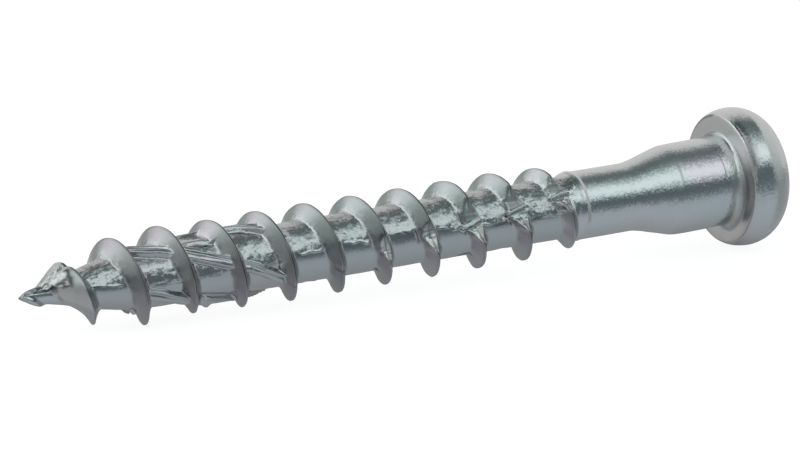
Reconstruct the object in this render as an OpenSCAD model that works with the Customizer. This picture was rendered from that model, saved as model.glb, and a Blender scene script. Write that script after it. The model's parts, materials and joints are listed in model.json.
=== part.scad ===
// Connector screw: coarse right-hand wood thread with a gimlet point, a short
// plain shank, a cone that widens to a full-size neck, and a low round head
// with a flat underside. One forged and rolled piece, lying on the ground on
// its head rim and its first full thread crest.
// Millimetres. s is measured along the screw from the underside of the head:
// positive into the head, negative towards the point.

/* [Length] */
// Length from the underside of the head to the point
length = 40; // [34:1:60]

/* [Head] */
// Largest diameter of the head
head_d = 7.4; // [7.2:0.1:8.4]
// Diameter of the flat underside, inside the rounded lower rim
bearing_d = 6.72; // [6.5:0.02:6.9]
// Height of the head above its underside
head_h = 2.74; // [2.5:0.02:3.4]
// Height at which the head reaches its largest diameter
rim_h = 1.02; // [0.8:0.02:1.2]
// Diameter of the flat on top of the head
top_d = 4.4; // [4.2:0.1:5.2]
// Radius of the fillet between the neck and the underside of the head
fillet_r = 0.6; // [0.3:0.05:0.7]

/* [Drive recess] */
// Size over the six lobes of the drive recess
recess_d = 3.94; // [3.6:0.02:4.1]
// Size between opposite hollows of the drive recess
recess_root_d = 2.84; // [2.6:0.02:2.9]
// Depth of the drive recess
recess_depth = 1.9; // [1.2:0.1:2.1]

/* [Neck and shank] */
// Diameter of the neck that fills the plate hole
neck_d = 4.8; // [4.6:0.05:5]
// Distance from the underside of the head to the end of the neck
neck_len = 3.27; // [2.5:0.05:4]
// Length of the cone between the neck and the shank
cone_len = 2.5; // [2:0.1:3]
// Diameter of the plain shank
shank_d = 3.6; // [3.4:0.05:3.8]
// Distance from the underside of the head to the end of the plain shank
shank_end = 9.2; // [8.8:0.1:12]

/* [Thread] */
// Diameter over the thread crests
thread_d = 4.78; // [4.5:0.02:5]
// Diameter of the core between the threads
core_d = 3.18; // [3:0.02:3.2]
// Distance from one thread crest to the next
pitch = 2.67; // [2.4:0.01:2.9]
// Width of the flat on the thread crest
crest_w = 0.18; // [0.1:0.02:0.3]
// Width of the thread at its base
base_w = 0.94; // [0.6:0.02:1]
// Length of the tapered point
point_len = 6.6; // [5:0.1:8]
// Length over which the crest grows to its full height at the point
lead_in = 6.4; // [5:0.1:8]
// Length over which the thread fades out at the shank
run_out = 3; // [2:0.1:4]
// Place of one crest on the underside of the lying screw, from the head
crest_place = 20.29; // [19:0.01:22]
// Radius of the blunt end of the point
tip_r = 0.09; // [0.05:0.01:0.2]

/* [Reaming ribs] */
// Number of steep ribs around the front part of the core
rib_count = 4; // [2:1:4]
// Height of a rib above the core
rib_h = 0.32; // [0.15:0.01:0.4]
// Width of a rib at its base
rib_w = 0.55; // [0.4:0.05:0.7]
// Distance from the point to the front end of the ribs
rib_from = 5; // [4.5:0.1:7]
// Length of the ribs along the screw
rib_len = 9; // [6:0.1:10]
// Distance along the screw in which a rib would make one full turn
rib_lead = 26; // [14:0.5:30]
// Angle of the first rib at its front end, from straight down
rib_angle = 82; // [0:1:90]

/* [Hidden] */

sides = 30;                     // flats round the thread
tip = -length;
thread_top = -shank_end + 0.2;  // the thread has faded out here
root = -shank_end + 0.6;        // end of the core inside the shank

// ---- thread: core radius, crest height, helix ---------------------------
function clamp(x, a, b) = min(max(x, a), b);
function core(s) = let (u = clamp((s - tip) / point_len, 0, 1))
    tip_r + (core_d / 2 - tip_r) * (1.32 * u - 0.32 * pow(u, 2.4));
function lead(s) = let (u = clamp((s - tip) / lead_in, 0, 1))
    0.16 + 0.84 * sin(90 * min(1, 1.12 * u));
function fade(s) = pow(clamp((thread_top - s) / run_out, 0, 1), 0.3);
function height(s) = (thread_d - core_d) / 2 * lead(s) * fade(s);

// Offsets along the screw and heights of the thread section, one pitch
section = [[-base_w / 2, 0], [-crest_w / 2, 1], [crest_w / 2, 1], [base_w / 2, 0]];
n = len(section);
first = floor((tip + crest_place) / pitch) - 1;
last = ceil((root + crest_place) / pitch) + 1;
rows = (last - first + 1) * n;

function at(i) = (i + 0.5) * 360 / sides;    // angle from straight down
function place(i, j) = -crest_place + (first + floor(j / n)) * pitch
    + pitch * at(i) / 360 + section[j % n][0];
function low(i) = max([for (j = [0 : rows - 1]) place(i, j) <= tip + 0.05 ? j : 0]);
function high(i) = min([for (j = [0 : rows - 1]) place(i, j) >= root - 0.05 ? j : rows - 1]);
lows = [for (i = [0 : sides - 1]) low(i)];
highs = [for (i = [0 : sides - 1]) high(i)];
function point(i, j) =
    let (s = j <= lows[i] ? tip : j >= highs[i] ? root : place(i, j),
         r = j <= lows[i] ? tip_r : core(s) + (j >= highs[i] ? 0 : height(s) * section[j % n][1]))
    [r * cos(at(i)), r * sin(at(i)), s];
thread_points = concat(
    [for (i = [0 : sides - 1]) for (j = [0 : rows - 1]) point(i, j)],
    [[0, 0, tip - 0.1], [0, 0, root]]);
// Column i, row j; past the last column the helix has climbed by one pitch
function id(i, j) = let (c = i % sides, k = clamp(i < sides ? j : j + n, lows[c], highs[c]))
    c * rows + k;
function tri(a, b, c) = a == b || b == c || a == c ? [] : [[a, b, c]];
thread_faces = [for (f = concat(
    [for (i = [0 : sides - 1]) for (j = [-n : rows - 2])
        concat(tri(id(i, j), id(i, j + 1), id(i + 1, j)),
               tri(id(i + 1, j), id(i, j + 1), id(i + 1, j + 1)))],
    [for (i = [0 : sides - 1])
        [[id(i, -n), id(i + 1, -n - n), sides * rows]]],
    [for (i = [0 : sides - 1])
        [[id(i + 1, rows + n), id(i, rows + n), sides * rows + 1]]])) each f];

// ---- head profile: [radius, s], from the axis under the head to its top --
arc = 8;
head_profile = concat(
    [[0, 0], [bearing_d / 2, 0]],
    [for (k = [1 : arc]) let (a = 90 * k / arc)
        [bearing_d / 2 + (head_d - bearing_d) / 2 * sin(a), rim_h * (1 - cos(a))]],
    [for (k = [1 : arc]) let (a = 90 * k / arc)
        [head_d / 2 - (head_d - top_d) / 2 * (1 - cos(a)), rim_h + (head_h - rim_h) * sin(a)]],
    [[0, head_h]]);

// ---- rest: the tilt at which the rim and the thread touch the ground -----
function head_low(t) = min([for (p = head_profile) p[1] * sin(t) - p[0] * cos(t)]);
function thread_low(t) = min([for (p = thread_points) p[2] * sin(t) - p[0] * cos(t)]);
function settle(a, b, k) = let (t = (a + b) / 2)
    k == 0 ? t : head_low(t) < thread_low(t) ? settle(t, b, k - 1) : settle(a, t, k - 1);
rest_tilt = settle(0, 8, 30);
drop = head_low(rest_tilt);
reach_head = max([for (p = head_profile) p[1] * cos(rest_tilt) + p[0] * sin(rest_tilt)]);
reach_tip = min([for (p = thread_points) p[2] * cos(rest_tilt) + p[0] * sin(rest_tilt)]);
function lies() = [-(reach_head + reach_tip) / 2, 0, -drop];

// ---- solids, built upright with the point down ---------------------------
module threaded_core() {
    polyhedron(points = thread_points, faces = thread_faces, convexity = 12);
}

// One steep rib: a swept four-sided bar whose foot is sunk in the core
module rib(turn) {
    steps = 14;
    function rise(u) = (rib_h + 0.08) * min(1, 5 * min(u, 1 - u)) - 0.08;
    pts = [for (k = [0 : steps]) let (u = k / steps, s = tip + rib_from + rib_len * u,
            a = turn + 360 * rib_len * u / rib_lead, c = core(s), w = 90 * rib_w / (PI * c))
        each [for (q = [[-1.9 * w, -0.45], [-0.6 * w, rise(u)], [0.6 * w, rise(u)], [1.9 * w, -0.45]])
            [(c + q[1]) * cos(a + q[0]), (c + q[1]) * sin(a + q[0]), s]]];
    function quad(a, b, c, d) = [[a, c, b], [a, d, c]];
    faces = concat([[0, 1, 2, 3], [for (q = [3 : -1 : 0]) steps * 4 + q]],
        [for (k = [0 : steps - 1]) for (q = [0 : 3])
            each quad(k * 4 + q, k * 4 + (q + 1) % 4, k * 4 + 4 + (q + 1) % 4, k * 4 + 4 + q)]);
    polyhedron(points = pts, faces = faces, convexity = 4);
}

module body_of_revolution() {
    fr = [for (k = [0 : 6]) let (a = 90 * k / 6)
        [neck_d / 2 + fillet_r * (1 - sin(a)), -fillet_r * (1 - cos(a))]];
    rotate_extrude($fn = 96) polygon(concat(
        [[0, -shank_end], [shank_d / 2 - 0.06, -shank_end], [shank_d / 2, -shank_end + 0.12],
         [shank_d / 2, -neck_len - cone_len], [neck_d / 2, -neck_len]],
        [for (k = [6 : -1 : 0]) fr[k]],
        [for (k = [1 : len(head_profile) - 1]) head_profile[k]]));
}

module drive_recess() {
    hollow = (recess_d - recess_root_d) * 0.78;
    translate([0, 0, head_h - recess_depth]) linear_extrude(height = recess_depth + 1)
        difference() {
            circle(d = recess_d, $fn = 96);
            for (a = [0 : 60 : 300]) rotate(a + 30)
                translate([recess_root_d / 2 + hollow, 0]) circle(r = hollow, $fn = 64);
        }
}

module connector_screw() {
    color([0.72, 0.74, 0.75])
    translate(lies()) rotate([0, 90 - rest_tilt, 0])
    difference() {
        union() {
            threaded_core();
            body_of_revolution();
            for (k = [0 : rib_count - 1]) rib(rib_angle + 360 * k / rib_count);
        }
        drive_recess();
    }
}

connector_screw();
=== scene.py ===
import bpy, json
import numpy as np
from math import radians, sin, cos, pi
from mathutils import Vector, Matrix


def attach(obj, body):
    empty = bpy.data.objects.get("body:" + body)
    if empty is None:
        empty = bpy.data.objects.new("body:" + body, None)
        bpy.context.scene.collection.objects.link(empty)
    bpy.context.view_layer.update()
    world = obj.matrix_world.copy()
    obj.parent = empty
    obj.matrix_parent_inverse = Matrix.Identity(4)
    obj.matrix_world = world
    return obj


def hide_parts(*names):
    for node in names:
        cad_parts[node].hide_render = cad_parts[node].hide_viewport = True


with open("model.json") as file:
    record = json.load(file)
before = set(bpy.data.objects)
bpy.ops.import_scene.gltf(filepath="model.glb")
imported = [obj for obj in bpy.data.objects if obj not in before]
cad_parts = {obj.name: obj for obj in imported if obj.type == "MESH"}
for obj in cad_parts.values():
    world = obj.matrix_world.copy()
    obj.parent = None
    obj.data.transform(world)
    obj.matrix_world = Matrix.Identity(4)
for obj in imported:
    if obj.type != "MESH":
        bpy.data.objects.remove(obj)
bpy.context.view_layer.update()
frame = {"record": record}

# ---------------------------------------------------------------------------
# The screw's own frame. s is measured along the screw in mm from the underside
# of the head (negative towards the point), phi is the angle from straight down,
# right-handed about the direction from point to head.
# ---------------------------------------------------------------------------
TIP_S = -40.08
PITCH = 2.67
CREST_AT = -20.29               # a crest passes straight under the screw here
mounts = {m["name"]: m for m in frame["record"]["mounts"]}
face = mounts["under_head"]
AX = -Vector(face["axis"]).normalized()                 # point to head
ORG = Vector(mounts["neck"]["pos_m"])
ORG = ORG + AX * ((Vector(face["pos_m"]) - ORG).dot(AX))  # on the axis, at the underside of the head
DOWN = (Vector((0, 0, -1)) - AX * Vector((0, 0, -1)).dot(AX)).normalized()
SIDE = AX.cross(DOWN)

# The upset head sits slightly off the wire's axis, so the last few mm bow up
BOW_PHI = 150.0
BOW_S = [-41.0, -11.0, -8.5, -6.0, -3.0, -1.5, 0.0, 4.0]
BOW_MM = [0.0, 0.0, -0.012, -0.004, 0.014, 0.035, 0.11, 0.12]


def to_world(r, phi_deg, s):
    a = np.radians(phi_deg)
    d, e, x, o = (np.array(v) for v in (DOWN, SIDE, AX, ORG))
    bow = np.interp(s, BOW_S, BOW_MM)
    p, q = r * np.cos(a) + bow * cos(radians(BOW_PHI)), r * np.sin(a) + bow * sin(radians(BOW_PHI))
    return o + (p[..., None] * d + q[..., None] * e + s[..., None] * x) * 1e-3


# ---------------------------------------------------------------------------
# Seeded noise on the screw's surface, periodic round it
# ---------------------------------------------------------------------------
def noise(phi, s, cells, size, seed):
    """Smooth value noise: cells round the screw, size mm along it."""
    g = np.random.RandomState(seed).uniform(-1, 1, (cells, 256))
    u = (phi % 360.0) / 360.0 * cells
    v = (s + 60.0) / size
    i, j = np.floor(u).astype(int), np.floor(v).astype(int)
    fu, fv = u - i, v - j
    fu, fv = fu * fu * (3 - 2 * fu), fv * fv * (3 - 2 * fv)
    i0, i1, j0, j1 = i % cells, (i + 1) % cells, j % 256, (j + 1) % 256
    return ((g[i0, j0] * (1 - fu) + g[i1, j0] * fu) * (1 - fv)
            + (g[i0, j1] * (1 - fu) + g[i1, j1] * fu) * fv)


def facets(phi, s, cells, size, seed):
    """Crumpled foil: flat three-cornered facets that meet at creases."""
    g = np.random.RandomState(seed).uniform(-1, 1, (cells, 256))
    u = phi / 360.0 * cells + 0.45 * noise(phi, s, cells // 2, size * 2, seed + 1)
    v = (s + 60.0) / size + 0.45 * noise(phi, s, cells // 2, size * 2, seed + 2)
    i, j = np.floor(u).astype(int), np.floor(v).astype(int)
    fu, fv = u - i, v - j
    i0, i1, j0, j1 = i % cells, (i + 1) % cells, j % 256, (j + 1) % 256
    low = g[i0, j0] + (g[i1, j0] - g[i0, j0]) * fu + (g[i0, j1] - g[i0, j0]) * fv
    high = g[i1, j1] + (g[i0, j1] - g[i1, j1]) * (1 - fu) + (g[i1, j0] - g[i1, j1]) * (1 - fv)
    return np.where(fu + fv < 1, low, high)


def sstep(a, b, x):
    t = np.clip((x - a) / (b - a), 0, 1)
    return t * t * (3 - 2 * t)


def bell(x, w):
    return np.exp(-(x / w) ** 2)


def angle_diff(a, b):
    return (a - b + 180.0) % 360.0 - 180.0


def smin(a, b, k):
    h = np.clip(0.5 + 0.5 * (b - a) / k, 0, 1)
    return b * (1 - h) + a * h - k * h * (1 - h)


# ---------------------------------------------------------------------------
# Threaded part: core, crest, section
# ---------------------------------------------------------------------------
CORE_S = [-40.08, -40.0, -39.85, -39.6, -39.3, -38.85, -38.0, -37.2, -36.35, -35.9, -35.1, -34.2, -33.0, -31.0, -25, -20,
          -10.2, -9.85, -9.6, -9.4, -9.28]
CORE_R = [0.03, 0.10, 0.19, 0.29, 0.37, 0.46, 0.64, 0.85, 1.11, 1.20, 1.36, 1.48, 1.53, 1.55, 1.575, 1.59,
          1.60, 1.625, 1.70, 1.79, 1.825]
CREST_S = [-40.08, -39.8, -39.4, -39.0, -38.6, -38.2, -37.85, -37.66, -37.57, -37.47, -37.38, -37.1, -36.8, -36.4, -35.7,
           -35.1, -34.4, -33.75, -33.0, -32.4, -31.9, -31.4, -30.85, -30.2, -29.6, -29.0, -28.5, -28.0,
           -27.0, -12.3, -11.0, -10.3, -9.75, -9.45, -9.3, -9.0]
CREST_R = [0.05, 0.26, 0.44, 0.58, 0.82, 1.22, 1.43, 1.42, 1.31, 1.43, 1.50, 1.62, 1.77, 1.89, 2.12,
           2.25, 2.31, 2.34, 2.42, 2.46, 2.36, 2.17, 2.18, 2.31, 2.37, 2.33, 2.26, 2.32,
           2.40, 2.39, 2.27, 2.21, 2.15, 2.02, 1.82, 1.80]
RING, RING_R = -9.28, 1.825      # the threaded grid ends on this ring
HALF_LAND = 0.045                # half the width of the crest


def section(x, at):
    """Height of the thread, 0 to 1, at x mm from the crest line at place `at`."""
    turn = [-40.0, -39.2, -38.4, -37.77, -37.45, -37.2, -36.85, -36.43, -35.2, -34.4]     # the first flank is long
    base = np.interp(at, turn, [0.5, 0.7, 1.0, 1.25, 1.7, 2.1, 1.9, 1.15, 0.64, 0.54])
    p = np.interp(at, turn, [1.6, 1.6, 1.4, 1.2, 1.15, 1.15, 1.4, 2.3, 1.5, 1.32])
    base, p = np.where(x < 0, base, 0.50), np.where(x < 0, p, 1.32)
    t = (np.abs(x) - HALF_LAND) / (base - HALF_LAND)
    y = np.where(t < 0, 1 - p * t, np.maximum(1 - t, 0) ** p)
    return smin(y, np.ones_like(y), 0.06)


# Steep right-hand ribs on the front of the core
RIB_AT, RIB_RATE, RIB_PHI = -29.42, 12.2, (251.0, 337.0, 69.0, 161.0)


def ribs(phi, s):
    out = np.zeros_like(s)
    for k, a in enumerate(RIB_PHI):
        c = a + RIB_RATE * (s - RIB_AT) + 9 * sstep(-28.5, -26.5, s)
        x = np.radians(angle_diff(phi, c)) * 1.75         # mm across the rib
        x = x + 0.04 * noise(phi, s, 24, 0.9, 40 + k)
        edge = np.where(x < 0, 0.06, 0.15)                 # crisp on one side, sloping on the other
        w = np.clip((np.where(x < 0, 0.28, 0.42) - np.abs(x)) / edge, 0, 1)
        flat = w * w * (3 - 2 * w)
        flat = flat * (1 - 0.26 * bell(x + 0.05, 0.07) + 0.06 * bell(x + 0.2, 0.05))
        ends = sstep(-34.9, -34.3, s) * (1 - sstep(-26.7, -25.7, s))
        out = np.maximum(out, flat * ends * (1 + 0.08 * noise(phi, s, 30, 0.5, 44 + k)))
    return out


# Where the rolling dies met, a gap runs down through the crests and widens towards the shank:
# place of the crest at angle FRONT, then angle off FRONT (positive downwards) and height left, 0 to 1
FRONT = 253.3
GAPS = [(-26.42, [(38, 1), (45, .90), (47.5, .84), (49, 1)]),
        (-23.75, [(25, 1), (33, .90), (36.5, .80), (38.5, .97), (42, 1)]),
        (-21.08, [(-10, 1), (-2, .90), (3, .66), (10, .52), (18, .44), (22, .46), (28, .66), (34, .88), (38, 1)]),
        (-18.41, [(-14, 1), (-9, .86), (-6, .55), (-2, .33), (5, .26), (10, .22), (14, .26), (20, .46), (26, .68), (32, .92), (35, 1)]),
        (-15.74, [(-42, 1), (-36, .97), (-30, .76), (-24, .40), (-18, .16), (-10, .06), (0, .02), (8, .06), (14, .22),
                  (21, .52), (27, .84), (31, 1)]),
        (-13.07, [(-48, 1), (-42, .90), (-36, .62), (-31, .28), (-26, .10), (-15, .03), (-2, .04), (4, .12), (12, .42),
                  (19, .76), (24, .96), (27, 1)]),
        (-10.40, [(-58, 1), (-52, .93), (-46, .62), (-41, .24), (-35, .08), (-24, .03), (-14, .06), (-6, .3), (2, .75),
                  (8, 1)])]
# Small pits at the foot of a flank
PITS = [(-21.05, 326, 0.10, 0.14), (-15.98, 330, 0.40, 0.16), (-13.50, 341, 0.32, 0.20), (-28.9, 262, 0.10, 0.10),
        (-13.78, 250, 0.06, 0.09), (-16.42, 262, 0.06, 0.07), (-11.12, 234, 0.05, 0.08)]   # place, angle, half sizes
# Burrs on the underside
BURRS = [(-34.33, 342, 0.33, 0.14), (-30.55, 338, 0.32, 0.22), (-28.35, 262, 0.10, 0.10)]
# Thin laps of metal that cross the gaps
LAPS = [([-16.34, -15.80, -15.24], [261, 256, 249]), ([-13.71, -13.20, -12.64], [248, 243, 237]),
        ([-11.06, -10.50, -9.94], [232, 228, 223])]


def gap(phi, at):
    """Height left of the crest, and how far into a gap this place is, both 0 to 1."""
    keep, lower = np.ones_like(at), np.zeros_like(at)
    for s0, table in GAPS:
        off = angle_diff(phi, FRONT)
        here = np.abs(at - s0 - PITCH * off / 360.0) < 0.6 * PITCH
        xs, ys = np.array(table, float).T
        off = off + 1.2 * noise(phi, at, 90, 0.2, 73) + 0.8 * noise(phi, at, 150, 0.1, 74)
        keep = np.where(here, np.minimum(keep, np.interp(off, xs, ys)), keep)
        lower = np.where(here, sstep(xs[-1] - 8, xs[-1], off) * (1 - sstep(60, 110, off)), lower)
    return keep, lower


# Lower edge of the rough side of the core
EDGE_S = [-39.8, -38.7, -37.9, -37.5, -37, -36, -34.9, -33.5, -30, -26, -23.3, -21.8, -20.8, -19.9, -19, -17, -14, -9]
EDGE_PHI = [234, 239, 235, 240, 250, 257, 266, 270, 272, 259, 251, 256, 245, 249, 247, 256, 262, 262]


def surface(phi, s, x):
    """Radius in mm at angle phi, place s, and x mm along from the nearest crest line, with the rough parts and the
    painted shade and highlights.
    """
    at = s - x
    keep, lower = gap(phi, at)
    x = x - 0.06 * lower * sstep(-20.5, -19.0, at)          # below a gap the crest is a little out of line
    base = np.interp(s, CORE_S, CORE_R)
    crest = np.interp(at, CREST_S, CREST_R)
    crest = crest + 0.022 * noise(phi, at, 22, 2.67, 3) * sstep(-36, -33, at) * (1 - sstep(-12, -10, at))
    sec = section(x, at)
    hump = 1 - sstep(-37.78, -37.60, s + 0.05 * noise(phi, s, 40, 0.15, 79))   # crumpled start of the thread
    on_core = np.maximum((1 - sec) ** 2, 0.8 * hump)
    live = sstep(-40.0, -39.5, s) * (1 - sstep(-9.75, -9.4, s))
    # rough side and smooth side of the core
    line = np.interp(s, EDGE_S, EDGE_PHI) + 3.5 * noise(phi * 0, s, 2, 0.36, 61) + 2 * noise(phi * 0, s, 2, 0.17, 62)
    off = angle_diff(phi, line)
    rib = ribs(phi, s)
    rough = (1 - sstep(-3, 3, off)) * sstep(-178, -150, off) * (1 - 0.75 * np.clip(rib * 1.5, 0, 1))
    amp = np.interp(s, [-39, -37, -34, -26, -22, -18, -14, -9.5], [0.9, 0.8, 0.46, 0.5, 0.6, 0.65, 0.75, 0.75])
    wrinkle = (0.034 * facets(phi, s, 26, 0.40, 11) + 0.017 * facets(phi, s, 50, 0.21, 14)
               + 0.010 * noise(phi, s, 72, 0.55, 17))
    smooth = 0.010 * noise(phi, s, 12, 0.8, 18) + 0.003 * noise(phi, s, 30, 0.3, 19)
    smooth = smooth + 0.026 * noise(phi, s, 30, 0.22, 20) * sstep(295, 312, phi) * sstep(-26.4, -26.0, s) * (1 - sstep(-23.9, -23.5, s))
    torn = (1 - keep) * sstep(0.15, 0.55, sec)               # crumpled lower side of a gap
    torn = torn * sstep(-4, 8, angle_diff(phi, FRONT) + 28 * sstep(-12, -10.6, at))
    skin = (wrinkle * amp * rough + smooth) * live
    ridge = bell(np.radians(off) * base, 0.04) * sstep(-0.5, 0.3, noise(phi * 0, s, 2, 0.6, 63))
    ridge = ridge * live * (1 - 0.7 * sstep(-34.5, -33.5, s) * (1 - sstep(-26, -25, s)))
    skin = skin + 0.034 * ridge
    r = base + skin * on_core
    r = r + 0.31 * rib * np.clip(base / 1.55, 0, 1)
    cut = keep * 1.03 * (1 - 0.45 * (x + 0.1) * sstep(0.04, 0.3, 1 - keep))     # a gap cuts the thread off obliquely
    stub = np.where(keep > 0.995, sec, smin(sec, cut, 0.05))
    r = np.maximum(r, base + np.maximum(crest - base, 0) * np.maximum(stub, 0) + skin * on_core)
    open_ = sstep(0.35, 0.8, 1 - keep)
    upper = open_ * (1 - sstep(-4, 4, angle_diff(phi, FRONT) + 28 * sstep(-12.6, -10.6, at)))
    upper = upper * sstep(-0.62, -0.52, x) * (1 - sstep(0.46, 0.56, x))
    r = r + 0.07 * (0.5 - x) * upper * sstep(-17.5, -16.5, at)
    r = r + (0.075 * facets(phi, s, 64, 0.20, 72) + 0.04 * facets(phi, s, 40, 0.3, 76)) * torn
    # fold line along the rolled crest
    full = sstep(-38, -35, at) * (1 - sstep(-10.5, -9.6, at)) * sstep(0.6, 0.95, keep)
    fold = 0.3 + 0.7 * sstep(-0.35, 0.35, noise(phi, at, 16, 2.67, 21))
    r = r - (0.030 * bell(x - 0.01, 0.028) * fold + 0.014 * bell(x - 0.12, 0.03)) * full
    # creases at the feet of the gaps
    crease = bell(x + 0.60 + 0.03 * noise(phi, s, 60, 0.3, 75), 0.05) * open_
    seam = bell(x - 0.54, 0.05) * open_
    r = r - 0.07 * crease - 0.04 * seam
    # thin raised laps with a groove under them
    lap = np.zeros_like(s)
    under = np.zeros_like(s)
    for ls, lp in LAPS:
        c = np.interp(s, ls, lp) + 0.8 * noise(phi * 0, s, 2, 0.4, 31)
        t = np.radians(angle_diff(phi, c)) * 1.64
        within = sstep(ls[0] - 0.12, ls[0] + 0.05, s) * (1 - sstep(ls[-1] - 0.05, ls[-1] + 0.12, s))
        lap = np.maximum(lap, bell(t, 0.085) * within)
        under = np.maximum(under, bell(t - 0.15, 0.055) * within)
    r = r + 0.075 * lap - 0.07 * under
    pit = np.zeros_like(s)
    for ps, pphi, pl, pw in PITS:
        e = np.hypot((s - ps) / pl, np.radians(angle_diff(phi, pphi + 6.0 * (ps - s))) * 1.6 / pw)
        pit = np.maximum(pit, np.clip(1.6 * bell(e, 1.0), 0, 1) * (1 - sstep(0.1, 0.5, sec)))
    r = r - 0.07 * pit
    for bs, bphi, h, w in BURRS:
        e = np.hypot((s - bs), np.radians(angle_diff(phi, bphi)) * 1.8)
        r = r + h * bell(e, w) * (1 + 0.3 * facets(phi, s, 50, 0.2, 77))
    # leaf-shaped hollow beside a rib
    u = (s + 30.65) / 0.85
    e = np.radians(angle_diff(phi, 203 + 4 * u)) * 1.6 / np.maximum(0.30 * (1 - u * u), 0.02)
    leaf = np.clip(1 - e * e, 0, 1) * (np.abs(u) < 1)
    r = r - 0.16 * leaf * np.clip(1 - sec * 1.6, 0, 1)
    # painted shade, where shade falls: darker crest edges, gap lips, nicks, creases, pits, hollows, the edge of the
    # rough side, the lower flank feet, patches near the point and the shank's end, and the hidden side of the grooves
    up = 0.5 + 0.5 * np.cos(np.radians(phi - 170.0))         # 1 on the upper side
    groove = on_core * sstep(-39.5, -36, s) * (1 - sstep(-10.2, -9.4, s))
    dark = groove * (0.17 + 0.05 * sstep(0.45, 0.95, up))
    edge = bell(x - 0.005, 0.066) * (0.7 + 0.3 * sstep(165, 190, phi)) * (1 - 0.45 * sstep(280, 300, phi)) * sstep(-39.2, -37.6, at) * (1 - sstep(-10.3, -9.6, at)) * (0.35 + 0.65 * keep)
    dark = np.maximum(dark, 0.90 * edge * (0.7 + 0.3 * fold))
    lip = bell((sec - keep) / np.maximum(0.10, 0.3 * keep), 1.0) * (x < 0) * sstep(0.03, 0.1, 1 - keep) * sstep(0.05, 0.15, keep)
    dark = np.maximum(dark, 0.70 * lip * (1 - sstep(2, 8, angle_diff(phi, FRONT))))
    nick = sstep(0.05, 0.16, 1 - keep) * (1 - sstep(-22.3, -22.0, at)) * sstep(0.2, 0.5, sec)
    dark = np.maximum(dark, 0.6 * nick)
    jag = sstep(-0.45, 0.05, noise(phi, s, 60, 0.13, 65)) * (1 - sstep(-37.72, -37.60, s)) * live
    dark = np.maximum(dark, 0.85 * jag * bell(off + 2 + 6 * noise(phi, s, 40, 0.2, 66), 11))
    dark = np.maximum(dark, 0.90 * bell(s + 37.72 + 0.07 * noise(phi, s, 60, 0.2, 67), 0.13) * sstep(196, 206, phi) * (1 - sstep(238, 248, phi)))
    nose = sstep(-39.75, -39.4, s) * (1 - sstep(-37.75, -37.62, s))
    dark = np.maximum(dark, 0.86 * (0.5 + 0.5 * jag) * nose * bell(off + 1 + 5 * noise(phi, s, 30, 0.3, 82), 7))
    dark = np.maximum(dark, 0.80 * (0.3 + 0.7 * jag) * nose * (1 - sstep(-38.6, -38.3, s)) * bell(off + 30 + 6 * noise(phi, s, 30, 0.3, 83), 9))
    dark = np.maximum(dark, 0.75 * np.maximum(crease, 0.55 * seam))
    dark = np.maximum(dark, 0.72 * under)
    dark = np.maximum(dark, 0.9 * pit)
    dark = np.maximum(dark, 0.5 * bell(off - 3.0, 2.2) * sstep(-0.4, 0.4, noise(phi * 0, s, 2, 0.5, 64)) * live * on_core)
    dark = np.maximum(dark, 0.35 * leaf)
    dark = np.maximum(dark, 0.36 * upper)
    dark = np.maximum(dark, 0.45 * sstep(0.03, 0.10, x) * (1 - sstep(0.35, 0.55, x)) * sstep(0.12, 0.4, sec) * (1 - torn))   # painted shade on the rear flank
    e = np.hypot((s + 9.72) / 0.36, angle_diff(phi, 211) / 15) + 0.5 * noise(phi, s, 60, 0.16, 68)
    dark = np.maximum(dark, 0.55 * (1 - sstep(0.6, 1.1, e)))
    dark = np.maximum(dark, 0.22 * bell(x + 0.50, 0.14) * sstep(-35.5, -34, at) * (1 - up))
    dark = np.maximum(dark, 0.28 * sstep(0.05, 0.3, sec) * (x < 0) * sstep(0.35, 0.8, 1 - up) * sstep(-35.0, -33, at) * (1 - sstep(-22, -19, at)))
    dark = dark * (1 - 0.9 * lap)
    # painted highlights on the laps, the torn facets, the crumpled start of the thread and the front flanks; where dark
    # is small they turn it negative, which brightens the base colour
    painted_highlight = np.maximum(0.52 * lap, 0.45 * torn * sstep(0.0, 0.5, facets(phi, s, 64, 0.20, 72) + 0.2))
    painted_highlight = np.maximum(painted_highlight, 0.62 * hump * sstep(-40, -10, -off) * sstep(-39.6, -39.0, s))
    painted_highlight = np.maximum(painted_highlight, 0.56 * bell(angle_diff(phi, 222), 14) * sstep(-0.56, -0.44, x) * (1 - sstep(-0.14, -0.06, x)) * sstep(-35.5, -34, at))
    painted_highlight = np.maximum(painted_highlight, 0.45 * bell(np.hypot((s + 9.68) / 0.30, angle_diff(phi, 240) / 13), 1) * sstep(-0.2, 0.3, noise(phi, s, 70, 0.14, 69)))
    painted_highlight = np.maximum(painted_highlight, 0.16 * bell(angle_diff(phi, 176), 22) * sstep(-0.56, -0.44, x) * (1 - sstep(-0.14, -0.06, x)) * sstep(-36.5, -35, at))
    painted_highlight = np.maximum(painted_highlight, 0.26 * sstep(244, 256, phi) * (1 - sstep(325, 340, phi)) * (x < -0.06) * sstep(-38.3, -37.8, at) * (1 - sstep(-36.7, -36.3, at)))
    dark = np.where(dark > 0.24, dark, dark - painted_highlight)
    worked = np.clip(0.01 + 0.87 * rough * on_core * live * np.minimum(amp, 1.2) + 0.5 * torn, 0, 1)
    flank = sstep(0.05, 0.35, sec) * (1 - torn) * (1 - hump)
    grain = 0.75 - 0.70 * flank
    return r, worked, grain, dark


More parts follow.
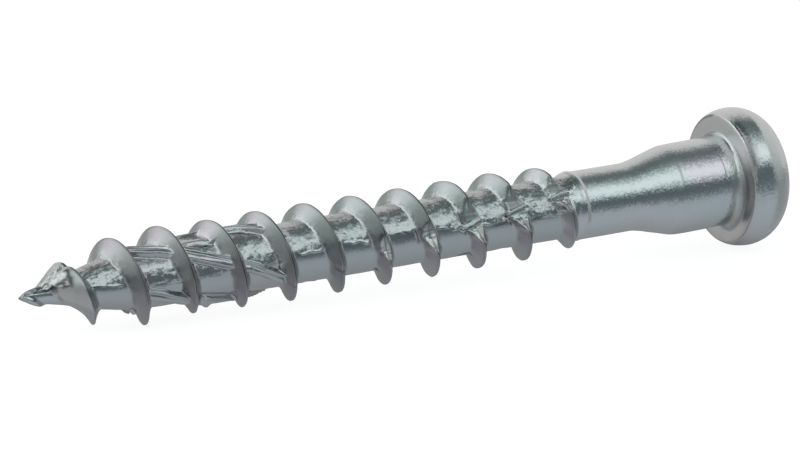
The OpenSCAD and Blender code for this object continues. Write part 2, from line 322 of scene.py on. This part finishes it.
COLS = 172
grid = np.linspace(0, 360, 7201)
dens = np.cumsum(0.55 + 0.85 * sstep(150, 175, grid) * (1 - sstep(335, 355, grid)))   # finer on the torn side
dens = (dens - dens[0]) / (dens[-1] - dens[0])
PHI = np.interp(np.arange(COLS) / COLS, dens, grid)
half = [0.0, 0.025, 0.05, 0.08, 0.11, 0.15, 0.20, 0.26, 0.32, 0.38, 0.44, 0.505, 0.58, 0.67, 0.76, 0.86, 0.96, 1.06,
        1.17, 1.28]
offs = np.array(sorted([-v for v in half[1:]] + half))
M = len(offs)
K0 = int(np.floor((TIP_S - CREST_AT) / PITCH)) - 1
K1 = int(np.ceil((RING - CREST_AT) / PITCH)) + 1
ROWS = (K1 - K0 + 1) * M
jj = np.arange(ROWS)
S = CREST_AT + (K0 + jj // M)[None, :] * PITCH + offs[jj % M][None, :] + PITCH * PHI[:, None] / 360.0
X = np.broadcast_to(offs[jj % M][None, :], S.shape)
A = np.broadcast_to(PHI[:, None], S.shape)
lo = np.array([int(np.max(np.nonzero(S[i] <= TIP_S + 0.02)[0])) for i in range(COLS)])
hi = np.array([int(np.min(np.nonzero(S[i] >= RING - 0.02)[0])) for i in range(COLS)])
Sc = np.clip(S, TIP_S, RING)
R, W, G, D = surface(A, Sc, X + (Sc - S))
near = sstep(RING - 0.35, RING - 0.05, Sc)
R = R * (1 - near) + np.minimum(R, np.interp(Sc, CORE_S, CORE_R)) * near
for i in range(COLS):
    R[i, :lo[i] + 1], Sc[i, :lo[i] + 1] = 0.035, TIP_S
    R[i, hi[i]:], Sc[i, hi[i]:] = RING_R, RING

# ---------------------------------------------------------------------------
# Shank, cone, neck, head and recess: rings from the threaded part to the axis
# ---------------------------------------------------------------------------
rings = [(1.842, -9.24), (1.852, -9.20), (1.852, -9.16), (1.84, -9.11), (1.815, -9.05), (1.80, -8.99), (1.795, -8.9)]
for s in np.arange(-8.75, -5.9, 0.2):
    rings.append((1.795, s))
CONE_S = [-5.85, -5.72, -5.57, -5.32, -5.06, -4.80, -4.54, -4.28, -4.02, -3.85, -3.70, -3.58, -3.48, -3.38, -3.27,
          -3.1, -2.9]
CONE_R = [1.80, 1.812, 1.840, 1.890, 1.952, 2.028, 2.098, 2.164, 2.238, 2.282, 2.322, 2.351, 2.369, 2.380, 2.387,
          2.392, 2.395]
rings += list(zip(CONE_R, CONE_S))
for s in [-2.7, -2.45, -2.2, -1.95, -1.7, -1.45, -1.25, -1.12, -1.05, -1.01, -0.98, -0.95, -0.92, -0.87, -0.80, -0.72, -0.64]:
    rings.append((2.398, s))
fr, fs = 2.40, -0.262
wide = 1 + 1.1 * sstep(236, 278, PHI) * (1 - sstep(340, 359, PHI))     # the hollow is wider on the lower side
for k in range(14):                 # hollow that tightens towards the underside
    rings.append((2.40 + (fr - 2.40) * wide, fs * wide))
    a = radians(90 * (k + 0.5) / 14)
    rho = (0.33 - 0.19 * (k + 0.5) / 14) * radians(90 / 14)
    fr, fs = fr + rho * sin(a), fs + rho * cos(a)
foot = 2.40 + (fr - 2.40) * wide
rings += [(np.maximum(2.68, foot + 0.02), 0.0), (np.maximum(2.78, foot + 0.05), 0.0), (np.maximum(2.89, foot + 0.09), 0.0), (3.0, 0.0), (3.12, 0.001), (3.22, 0.003), (3.29, 0.006)]
for a in np.linspace(0, 75, 8):     # crisp rounded lower edge
    rings.append((3.345 + 0.15 * sin(radians(a)), 0.010 + 0.15 * (1 - cos(radians(a)))))
SIDE_S = [0.17, 0.25, 0.38, 0.52, 0.66, 0.80, 0.94, 1.04, 1.09, 1.12]
SIDE_R = [3.52, 3.565, 3.61, 3.645, 3.67, 3.687, 3.697, 3.70, 3.70, 3.70]
rings += list(zip(SIDE_R, SIDE_S))
c0, d0 = cos(radians(4)), sin(radians(4))
for a in np.concatenate([[5, 8, 12, 17, 23], np.linspace(30, 90, 11)]):   # dome, with a crease where it starts
    a = radians(a)
    rings.append((3.70 - 1.50 * (c0 - cos(a)) / c0, 1.12 + 1.62 * (sin(a) - d0) / (1 - d0)))
rings += [(2.14, 2.742), (2.08, 2.742)]
n_round = len(rings)


def lobe(phi):
    """Outline of the six-lobe recess, mm."""
    t = np.abs(angle_diff(phi * 6, 180.0)) / 6.0         # 0 in the middle of a hollow, 30 in a lobe
    h, c = 0.858, 1.42 + 0.858
    cosd = np.cos(np.radians(t))
    disc = h * h - c * c * (1 - cosd * cosd)
    inner = np.where(disc > 0, c * cosd - np.sqrt(np.maximum(disc, 0)), 9.0)
    return np.minimum(inner, 1.97)


LOBE = lobe(PHI)
rec = [(0.035, 2.738), (0.012, 2.725), (0.0, 2.70)] + [(0.0, 2.70 - d) for d in (0.25, 0.6, 1.0, 1.4, 1.7)]
ring_r = [np.full(COLS, r) for r, s in rings] + [LOBE + o for o, s in rec]
ring_s = [np.full(COLS, s) for r, s in rings] + [np.full(COLS, s) for o, s in rec]
for f, s in ((0.94, 0.93), (0.7, 0.86), (0.35, 0.72)):
    ring_r.append(LOBE * f)
    ring_s.append(np.full(COLS, s))
RR, RS = np.array(ring_r).T, np.array(ring_s).T
RS = RS - 0.05 * sstep(-0.6, -0.1, RS)
PA = np.broadcast_to(PHI[:, None], RR.shape)
wob = 0.006 * noise(PA, RS, 10, 1.1, 51) + 0.0025 * noise(PA, RS, 26, 0.4, 52)
for cs, depth in ((-3.58, 0.010), (-0.98, 0.012)):       # fine turned lines at both ends of the neck
    there = sstep(205, 222, PA) * (1 - sstep(247, 254, PA))
    wob = wob - depth * bell(RS - cs, 0.03) * there
wob[:, :7] += (1.80 - RR[:, :7]) * 0.75 * sstep(245, 285, PA[:, :7]) * (1 - sstep(20, 90, (PA[:, :7] - 285) % 360))
lean = angle_diff(-106.7 - PA, 0.0)                          # 0 on the front side, 90 up
wob = wob + 0.075 * (sstep(-14, 16, lean) - 0.5) * (1 - sstep(18, 80, np.abs(lean - 1))) * sstep(0.05, 0.4, RS) * (1 - sstep(1.0, 1.6, RS))
wob[:, n_round:] = 0
RR = RR + wob

# ---------------------------------------------------------------------------
# One closed mesh
# ---------------------------------------------------------------------------
NR = RR.shape[1]
v_thread = to_world(R, A, Sc).reshape(-1, 3)
v_rings = to_world(RR, PA, RS).reshape(-1, 3)
tip_v = to_world(np.zeros(1), np.zeros(1), np.full(1, TIP_S - 0.012))
mid_v = to_world(np.zeros(1), np.zeros(1), np.full(1, 0.62))
verts = np.concatenate([v_thread, v_rings, tip_v, mid_v])
T0 = COLS * ROWS
TIP, MID = T0 + COLS * NR, T0 + COLS * NR + 1


def tid(i, j):
    c = i % COLS
    j = j if i < COLS else j + M
    return c * ROWS + min(max(j, lo[c]), hi[c])


faces = []
for i in range(COLS):
    for j in range(-M, ROWS - 1):
        q = [tid(i, j), tid(i + 1, j), tid(i + 1, j + 1), tid(i, j + 1)]
        q = [v for n, v in enumerate(q) if v != q[n - 1]]
        if len(q) >= 3:
            faces.append(q)
    faces.append([TIP, tid(i + 1, -2 * M), tid(i, -M)])
    a, b = tid(i, ROWS + M), tid(i + 1, ROWS + M)
    k = (i + 1) % COLS
    p, q = T0 + i * NR, T0 + k * NR
    faces.append([a, b, q, p])
    for m in range(NR - 1):
        faces.append([p + m, q + m, q + m + 1, p + m + 1])
    faces.append([p + NR - 1, q + NR - 1, MID])
used = np.unique(np.concatenate([np.array(f) for f in faces]))
remap = -np.ones(len(verts), int)
remap[used] = np.arange(len(used))
faces = [[int(remap[v]) for v in f] for f in faces]
me = bpy.data.meshes.new("connector_screw_surface")
me.from_pydata(verts[used].tolist(), [], faces)
me.validate()
me.update()
me.polygons.foreach_set("use_smooth", [True] * len(me.polygons))
screw = bpy.data.objects.new("screw_visual", me)
bpy.context.scene.collection.objects.link(screw)

# worked: how rough the rolled surface is. grain: how strong the fine grain is.
# tone: tint of the plating, 0 greenish to 1 lilac, partly a painted reflection tint on the flanks and the neck. The
# colour attribute multiplies the base colour: painted shade on edges, creases, grooves, pits, the neck and the head,
# painted highlights where it rises above 1, and a brown and a lilac tint.
s_all = np.concatenate([Sc.reshape(-1), RS.reshape(-1), [TIP_S, 0.62]])
p_all = np.concatenate([A.reshape(-1), PA.reshape(-1), [0, 0]])
r_all = np.concatenate([R.reshape(-1), RR.reshape(-1), [0, 0]])
x_all = np.concatenate([(X + Sc - S).reshape(-1), np.full(RS.size, 9.0), [9.0, 9.0]])
worked = np.concatenate([W.reshape(-1), np.full(RS.size, 0.05), [0.3, 0.05]])
grain = np.concatenate([G.reshape(-1) * 0.7, np.where(RS.reshape(-1) > -0.03, 1.0, 0.85), [0.5, 0.5]])
under_head = (np.abs(s_all + 0.05) < 0.012) * (r_all > 2.63)
grain = grain * (1 - 0.75 * under_head)
tone = np.interp(s_all, [-40, -34, -29, -25, -22, -17, -13, -9, -5.6, -4.2, -3.4, -3.0, -0.8, -0.2, 0.5, 3],
                 [0.36, 0.56, 0.52, 0.42, 0.36, 0.36, 0.38, 0.34, 0.36, 0.40, 0.46, 0.76, 0.72, 0.36, 0.42, 0.44])
low_side = 0.5 + 0.5 * np.cos(np.radians(p_all - 345))
tone = tone + (0.5 - tone) * 0.4 * low_side - 0.06 * bell(x_all + 0.3, 0.25) * low_side
# painted shade from the threaded part, and on the point's tip vertex and the recess's centre vertex
dark = np.concatenate([D.reshape(-1), np.zeros(RS.size), [0.2, 0.3]])
ring = dark * 0
for cs, depth in ((-3.58, 0.40), (-0.98, 0.40)):           # painted shade in the two fine lines on the neck
    ring = np.maximum(ring, depth * bell(s_all - cs - 0.002 * (p_all - 236), 0.035) * sstep(205, 222, p_all) * (1 - sstep(247, 254, p_all)))
dark = np.maximum(dark, ring * (r_all > 2.2) * (s_all < -0.5))
brown = bell(s_all + 0.55, 0.35) * bell(angle_diff(p_all, 316), 16) * (r_all > 2.3) * (r_all < 2.8)
dark = np.maximum(dark, 0.30 * brown)
# painted shade on the lower side of the neck
neck_low = 0.26 * bell(angle_diff(p_all, 345), 28) * sstep(-4.2, -3.2, s_all) * (1 - sstep(-0.7, -0.2, s_all)) * (r_all > 2.0)
dark = np.maximum(dark, neck_low)
# painted shade on the lower side of the head's rim
rim_low = 0.48 * bell(angle_diff(p_all, 341), 17) * sstep(-0.06, 0.1, s_all) * (1 - sstep(1.2, 1.8, s_all)) * (r_all > 3.2)
dark = np.maximum(dark, rim_low)
# painted shade on the hollow under the head and on the underside, lower front side
fillet = sstep(-0.40, -0.30, s_all) * (1 - sstep(-0.075, -0.06, s_all)) * (r_all > 2.39) * (r_all < 2.72)
dark = np.maximum(dark, (0.12 * fillet + 0.15 * under_head) * sstep(240, 256, p_all) * (1 - sstep(300, 318, p_all)))
# painted shade: a dark line along the rim's edge on the upper side
rim_top = bell(s_all, 0.05) * (r_all > 3.33) * sstep(118, 130, p_all) * (1 - sstep(166, 174, p_all))
dark = np.maximum(dark, 0.5 * rim_top)
dark = np.maximum(dark, 0.45 * bell(s_all + 9.33, 0.05) * sstep(165, 180, p_all) * (1 - sstep(238, 252, p_all)))   # painted shade beside the ring at the shank's end
blot = noise(p_all, s_all, 70, 0.13, 81)
# painted shade: a dark strip on the head's side just above the rim, with a blotchy edge
strip = (1 - sstep(0.22, 0.52, s_all + 0.06 * blot)) * sstep(-0.02, 0.06, s_all) * sstep(196, 206, p_all) * (1 - sstep(243, 256, p_all))
dark = np.maximum(dark, 0.55 * strip * (r_all > 3.3))
# painted highlight: a bright line along the rim's lower edge
rim_line = bell(s_all + 0.015, 0.045) * (r_all > 3.33) * sstep(172, 182, p_all) * (1 - sstep(222, 238, p_all)) * sstep(-0.5, 0.2, blot)
dark = np.where(rim_line > 0.1, -0.5 * rim_line, dark)
dark = np.maximum(dark, 0.5 * (r_all < 2.05) * (s_all > 0.5) * (1 - sstep(2.35, 2.64, s_all)))      # painted shade inside the recess
warm = np.clip(brown + under_head * 0.05, 0, 1)
dark = np.clip(dark, -0.58, 1)
band = sstep(203, 216, p_all) * (1 - sstep(248, 262, p_all))       # bright side of the neck
tone = tone - 0.34 * (1 - band) * sstep(-3.6, -3.2, s_all) * (1 - sstep(-0.9, -0.5, s_all)) * (x_all > 8)
lilac = band * sstep(-4.0, -3.2, s_all) * (1 - sstep(-1.0, -0.6, s_all)) * (x_all > 8)
# base colour multiplier: painted shade where dark is above 0, painted highlight where it is below 0, with a brown and a
# lilac tint
painted_light_and_tint = np.stack([(1 - dark) * (1 + 0.02 * lilac), (1 - dark) * (1 - 0.03 * warm - 0.03 * lilac), (1 - dark) * (1 - 0.09 * warm + 0.01 * lilac),
                 np.ones_like(dark)], 1)
satin = np.concatenate([((0.75 - G) / 0.70).reshape(-1), np.zeros(RS.size), [0, 0]])
front = np.clip(satin, 0, 1) * (x_all < 0)                   # front flanks of the thread
satin = satin * (0.36 + 0.64 * bell(angle_diff(p_all, 226), 24)) + 0.3 * under_head + 0.34 * worked
satin = satin + 0.5 * sstep(-0.95, -0.55, s_all) * (s_all < -0.04) * (r_all > 2.3) * (r_all < 2.72) * sstep(236, 256, p_all)
# painted reflection tint: the tint of the front flanks changes round the screw, lilac on the upper side and greener
# beside it
tone = tone + front * (0.30 * bell(angle_diff(p_all, 172), 22) - 0.30 * bell(angle_diff(p_all, 222), 20) - 0.15 * bell(angle_diff(p_all, 130), 20) - 0.22 * sstep(-27, -23, s_all) * (1 - sstep(252, 272, p_all))
                       + 0.12 * sstep(262, 280, p_all))
for name, val in (("worked", worked), ("tone", tone), ("grain", grain), ("satin", satin)):
    att = me.attributes.new(name, "FLOAT", "POINT")
    att.data.foreach_set("value", np.clip(val[used], 0, 1).astype(np.float32))
att = me.attributes.new("painted_light_and_tint", "FLOAT_COLOR", "POINT")
att.data.foreach_set("color", np.clip(painted_light_and_tint[used], 0, 1.58).astype(np.float32).ravel())

# ---------------------------------------------------------------------------
# Zinc plating
# ---------------------------------------------------------------------------
mat = bpy.data.materials.new("zinc_plating")
mat.use_nodes = True
nt = mat.node_tree
N, L = nt.nodes, nt.links
bsdf = N["Principled BSDF"]
bsdf.inputs["Metallic"].default_value = 1.0


def node(kind, **kw):
    n = N.new(kind)
    for k, v in kw.items():
        setattr(n, k, v)
    return n


tc = node("ShaderNodeTexCoord")
mp = node("ShaderNodeMapping")
mp.inputs["Scale"].default_value = (1000, 1000, 1000)     # object space in mm
L.new(tc.outputs["Object"], mp.inputs["Vector"])


def tex(scale, detail, rough=0.5, dist=0.0):
    t = node("ShaderNodeTexNoise")
    t.inputs["Scale"].default_value = scale
    t.inputs["Detail"].default_value = detail
    t.inputs["Roughness"].default_value = rough
    t.inputs["Distortion"].default_value = dist
    L.new(mp.outputs["Vector"], t.inputs["Vector"])
    return t


def ramp(src, stops):
    r = node("ShaderNodeValToRGB")
    el = r.color_ramp.elements
    while len(el) < len(stops):
        el.new(0.5)
    for e, (p, c) in zip(el, stops):
        e.position = p
        e.color = (*c, 1) if len(c) == 3 else c
    L.new(src, r.inputs["Fac"])
    return r


def add(a, b, k):
    """a + k * (b - 0.5)"""
    m = node("ShaderNodeMath", operation="MULTIPLY_ADD")
    L.new(b, m.inputs[0])
    m.inputs[1].default_value = k
    s = node("ShaderNodeMath", operation="ADD")
    L.new(a, m.inputs[2])
    L.new(m.outputs[0], s.inputs[0])
    s.inputs[1].default_value = -0.5 * k
    return s.outputs[0]


wk = node("ShaderNodeAttribute", attribute_name="worked")
tn = node("ShaderNodeAttribute", attribute_name="tone")
gr = node("ShaderNodeAttribute", attribute_name="grain")
wr = node("ShaderNodeAttribute", attribute_name="painted_light_and_tint")
hue = add(add(tn.outputs["Fac"], tex(0.7, 2, 0.5).outputs["Fac"], 0.8), tex(5.0, 3, 0.6).outputs["Fac"], 0.35)
tint = ramp(hue, [(0.0, (0.555, 0.62, 0.60)), (0.3, (0.585, 0.615, 0.61)), (0.5, (0.605, 0.61, 0.612)),
                  (0.75, (0.64, 0.605, 0.63)), (1.0, (0.66, 0.60, 0.645))])
tinted = node("ShaderNodeMix", data_type="RGBA", blend_type="MULTIPLY")
tinted.inputs[0].default_value = 1.0
L.new(tint.outputs["Color"], tinted.inputs[6])
L.new(wr.outputs["Color"], tinted.inputs[7])
L.new(tinted.outputs[2], bsdf.inputs["Base Color"])
rg = ramp(add(tex(2.2, 4, 0.6).outputs["Fac"], tex(12.0, 2, 0.6).outputs["Fac"], 0.5),
          [(0.25, (0.09,) * 3), (0.75, (0.17,) * 3)])
sa = node("ShaderNodeAttribute", attribute_name="satin")
soft = node("ShaderNodeMath", operation="MULTIPLY_ADD")
soft.inputs[1].default_value = 0.36
L.new(sa.outputs["Fac"], soft.inputs[0])
L.new(rg.outputs["Color"], soft.inputs[2])
L.new(soft.outputs[0], bsdf.inputs["Roughness"])
fine, mid = tex(8.0, 2.0, 0.6), tex(5.0, 2, 0.6, 0.3)
b1 = node("ShaderNodeBump")
b1.inputs["Distance"].default_value = 0.000010
L.new(gr.outputs["Fac"], b1.inputs["Strength"])
L.new(fine.outputs["Fac"], b1.inputs["Height"])
b2 = node("ShaderNodeBump")
b2.inputs["Distance"].default_value = 0.00003
L.new(wk.outputs["Fac"], b2.inputs["Strength"])
L.new(mid.outputs["Fac"], b2.inputs["Height"])
L.new(b1.outputs["Normal"], b2.inputs["Normal"])


def flakes(scale, strength, k):
    """Small flat facets: a vector per cell that tips the surface a little."""
    v = node("ShaderNodeTexVoronoi")
    v.inputs["Scale"].default_value = scale
    L.new(mp.outputs["Vector"], v.inputs["Vector"])
    d = node("ShaderNodeVectorMath", operation="SUBTRACT")
    d.inputs[1].default_value = (0.5, 0.5, 0.5)
    L.new(v.outputs["Color"], d.inputs[0])
    m = node("ShaderNodeMath", operation="MULTIPLY")
    m.inputs[1].default_value = k
    L.new(strength, m.inputs[0])
    e = node("ShaderNodeVectorMath", operation="SCALE")
    L.new(d.outputs["Vector"], e.inputs[0])
    L.new(m.outputs[0], e.inputs["Scale"])
    return e.outputs["Vector"]


def vadd(a, b):
    n = node("ShaderNodeVectorMath", operation="ADD")
    L.new(a, n.inputs[0])
    L.new(b, n.inputs[1])
    return n.outputs["Vector"]


tip_n = vadd(vadd(b2.outputs["Normal"], flakes(4.6, wk.outputs["Fac"], 0.32)),
             vadd(flakes(9.5, wk.outputs["Fac"], 0.22), flakes(10.5, gr.outputs["Fac"], 0.085)))
unit = node("ShaderNodeVectorMath", operation="NORMALIZE")
L.new(tip_n, unit.inputs[0])
L.new(unit.outputs["Vector"], bsdf.inputs["Normal"])
me.materials.append(mat)
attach(screw, "root")
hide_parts("connector_screw")

# ---------------------------------------------------------------------------
# Camera: low and from the point's side, at the distance the photo shows
# ---------------------------------------------------------------------------
F_PX = 4000.0
EL, BETA = radians(13.98), radians(27.20)
hf = Vector((sin(BETA), cos(BETA), 0))
right = Vector((cos(BETA), -sin(BETA), 0))
fwd = hf * cos(EL) - Vector((0, 0, 1)) * sin(EL)
down = -(hf * sin(EL) + Vector((0, 0, 1)) * cos(EL))
ref = ORG + AX * -0.674e-3
depth = 0.21203
eye = ref - right * ((710.0 - 400) / F_PX * depth) - down * ((182.72 - 225) / F_PX * depth) - fwd * depth
cam = bpy.data.cameras.new("camera")
cam.sensor_width = 36.0
cam.lens = F_PX * 36.0 / 800.0
cam.clip_start, cam.clip_end = 0.005, 20.0
cam_ob = bpy.data.objects.new("camera", cam)
rot = Matrix((right, -down, -fwd)).transposed()
cam_ob.matrix_world = Matrix.Translation(eye) @ rot.to_4x4()
bpy.context.scene.collection.objects.link(cam_ob)
bpy.context.scene.camera = cam_ob

# ---------------------------------------------------------------------------
# Pale floor and a soft studio: long soft panels parallel to the screw
# ---------------------------------------------------------------------------
fm = bpy.data.meshes.new("floor")
g = 1.5
fm.from_pydata([(-g, -g, 0), (g, -g, 0), (g, g, 0), (-g, g, 0)], [], [(0, 1, 2, 3)])
floor = bpy.data.objects.new("floor", fm)
bpy.context.scene.collection.objects.link(floor)
floor.visible_glossy = False
fmat = bpy.data.materials.new("pale_floor")
fmat.use_nodes = True
fn, fl = fmat.node_tree.nodes, fmat.node_tree.links
fb = fn["Principled BSDF"]
fb.inputs["Base Color"].default_value = (0.22, 0.22, 0.22, 1)
fb.inputs["Roughness"].default_value = 0.9
fb.inputs["Specular IOR Level"].default_value = 0.0
fb.inputs["Emission Color"].default_value = (1, 1, 1, 1)
fb.inputs["Emission Strength"].default_value = 0.9
fm.materials.append(fmat)

world = bpy.data.worlds.new("studio")
bpy.context.scene.world = world
world.use_nodes = True
wn, wl = world.node_tree.nodes, world.node_tree.links
bg = wn["Background"]
wt = wn.new("ShaderNodeTexCoord")
view = -fwd
bvec = (view - AX * view.dot(AX)).normalized()      # from the screw towards the front of the studio
uvec = (-down - AX * (-down).dot(AX))
uvec = (uvec - bvec * uvec.dot(bvec)).normalized()  # up, square to both


def wdot(v):
    n = wn.new("ShaderNodeVectorMath")
    n.operation = "DOT_PRODUCT"
    n.inputs[1].default_value = v
    wl.new(wt.outputs["Generated"], n.inputs[0])
    return n.outputs["Value"]


def wmap(src, a, b):
    n = wn.new("ShaderNodeMapRange")
    n.interpolation_type = "SMOOTHSTEP"
    n.inputs["From Min"].default_value = a
    n.inputs["From Max"].default_value = b
    wl.new(src, n.inputs["Value"])
    return n.outputs["Result"]


def wramp(src, stops):
    """Colour by angle round the screw: 0 front, 90 up, 180 back, -90 down."""
    r = wn.new("ShaderNodeValToRGB")
    el = r.color_ramp.elements
    while len(el) < len(stops):
        el.new(0.5)
    for e, (p, c) in zip(el, stops):
        e.position = (p + 180) / 360.0
        e.color = (*c, 1)
    wl.new(src, r.inputs["Fac"])
    return r.outputs["Color"]


def wmix(fac, a, b, blend="MIX"):
    n = wn.new("ShaderNodeMix")
    n.data_type = "RGBA"
    n.blend_type = blend
    n.clamp_result = False
    wl.new(fac, n.inputs[0]) if not isinstance(fac, float) else setattr(n.inputs[0], "default_value", fac)
    for slot, v in ((6, a), (7, b)):
        if isinstance(v, tuple):
            n.inputs[slot].default_value = (*v, 1)
        else:
            wl.new(v, n.inputs[slot])
    return n.outputs[2]


at2 = wn.new("ShaderNodeMath")
at2.operation = "ARCTAN2"
wl.new(wdot(uvec), at2.inputs[0])
wl.new(wdot(bvec), at2.inputs[1])
mr = wn.new("ShaderNodeMapRange")
mr.inputs["From Min"].default_value = -pi
mr.inputs["From Max"].default_value = pi
wl.new(at2.outputs[0], mr.inputs["Value"])
psi = mr.outputs["Result"]
along = wdot(AX)
# square to the screw: long bright panel in front, dark gaps, pale wall behind, grey below
SQUARE = [(-180, (0.27, 0.27, 0.28)), (-160, (0.31, 0.32, 0.33)), (-144, (0.36, 0.375, 0.39)), (-128, (0.39, 0.41, 0.425)),
          (-104, (0.43, 0.465, 0.49)), (-80, (0.465, 0.515, 0.56)), (-56, (0.48, 0.54, 0.59)), (-40, (0.45, 0.51, 0.55)),
          (-26, (0.20, 0.24, 0.26)), (-12, (0.125, 0.16, 0.175)), (0, (0.145, 0.185, 0.195)), (12, (0.70, 0.81, 0.82)),
          (22, (1.03, 1.16, 1.165)), (38, (1.03, 1.15, 1.15)), (52, (0.60, 0.70, 0.70)), (66, (0.26, 0.32, 0.325)),
          (78, (0.165, 0.205, 0.21)), (90, (0.17, 0.20, 0.205)), (102, (0.34, 0.36, 0.36)), (114, (0.72, 0.725, 0.72)),
          (130, (0.82, 0.81, 0.805)), (160, (0.77, 0.765, 0.76)), (180, (0.55, 0.55, 0.54))]
# leaning towards the point's end
LEAN = [(-180, (0.54, 0.535, 0.525)), (-166, (0.35, 0.35, 0.36)), (-150, (0.29, 0.295, 0.33)), (-130, (0.245, 0.25, 0.285)),
        (-114, (0.34, 0.34, 0.35)), (-98, (0.46, 0.46, 0.475)), (-40, (0.44, 0.44, 0.455)), (-8, (0.36, 0.365, 0.375)),
        (10, (0.42, 0.43, 0.43)), (30, (0.72, 0.75, 0.76)), (48, (1.02, 1.06, 1.07)), (70, (1.22, 1.26, 1.28)),
        (100, (1.20, 1.25, 1.27)), (114, (1.08, 1.13, 1.16)), (130, (1.02, 1.07, 1.10)), (150, (0.72, 0.75, 0.75)),
        (166, (0.60, 0.60, 0.59)), (180, (0.54, 0.535, 0.525))]
# towards the point's end
FORE = [(-180, (0.36, 0.36, 0.37)), (-128, (0.22, 0.225, 0.24)), (-100, (0.20, 0.21, 0.225)), (-40, (0.20, 0.21, 0.22)),
        (0, (0.23, 0.25, 0.255)), (50, (0.52, 0.56, 0.56)), (84, (0.62, 0.68, 0.675)), (98, (0.66, 0.72, 0.72)), (108, (0.68, 0.74, 0.745)),
        (117, (0.84, 0.90, 0.91)), (138, (0.90, 0.95, 0.96)), (180, (0.40, 0.40, 0.40))]
# towards the head's end
AFT = [(-180, (0.45, 0.45, 0.45)), (-90, (0.36, 0.39, 0.415)), (-30, (0.34, 0.37, 0.385)), (20, (0.60, 0.64, 0.63)),
       (80, (0.74, 0.77, 0.76)), (140, (0.78, 0.78, 0.775)), (180, (0.62, 0.62, 0.62))]
sky = wmix(wmap(along, -0.28, -0.42), wramp(psi, SQUARE), wramp(psi, LEAN))
sky = wmix(wmap(along, -0.68, -0.82), sky, wramp(psi, FORE))
sky = wmix(wmap(along, 0.58, 0.72), sky, wramp(psi, AFT))
# a dim upright gap in the wall behind


def wmul(a, b):
    n = wn.new("ShaderNodeMath")
    n.operation = "MULTIPLY"
    wl.new(a, n.inputs[0])
    wl.new(b, n.inputs[1])
    return n.outputs[0]


dim = wmul(wmul(wmap(along, -0.54, -0.38), wmap(along, 0.08, -0.06)),
           wmul(wmap(psi, (136 + 180) / 360, (150 + 180) / 360), wmap(psi, (176 + 180) / 360, (166 + 180) / 360)))
sky = wmix(dim, sky, (0.35, 0.38, 0.375))
wl.new(sky, bg.inputs["Color"])
bg.inputs["Strength"].default_value = 1.0

bpy.context.scene.view_settings.view_transform = "Standard"
bpy.context.scene.view_settings.look = "None"
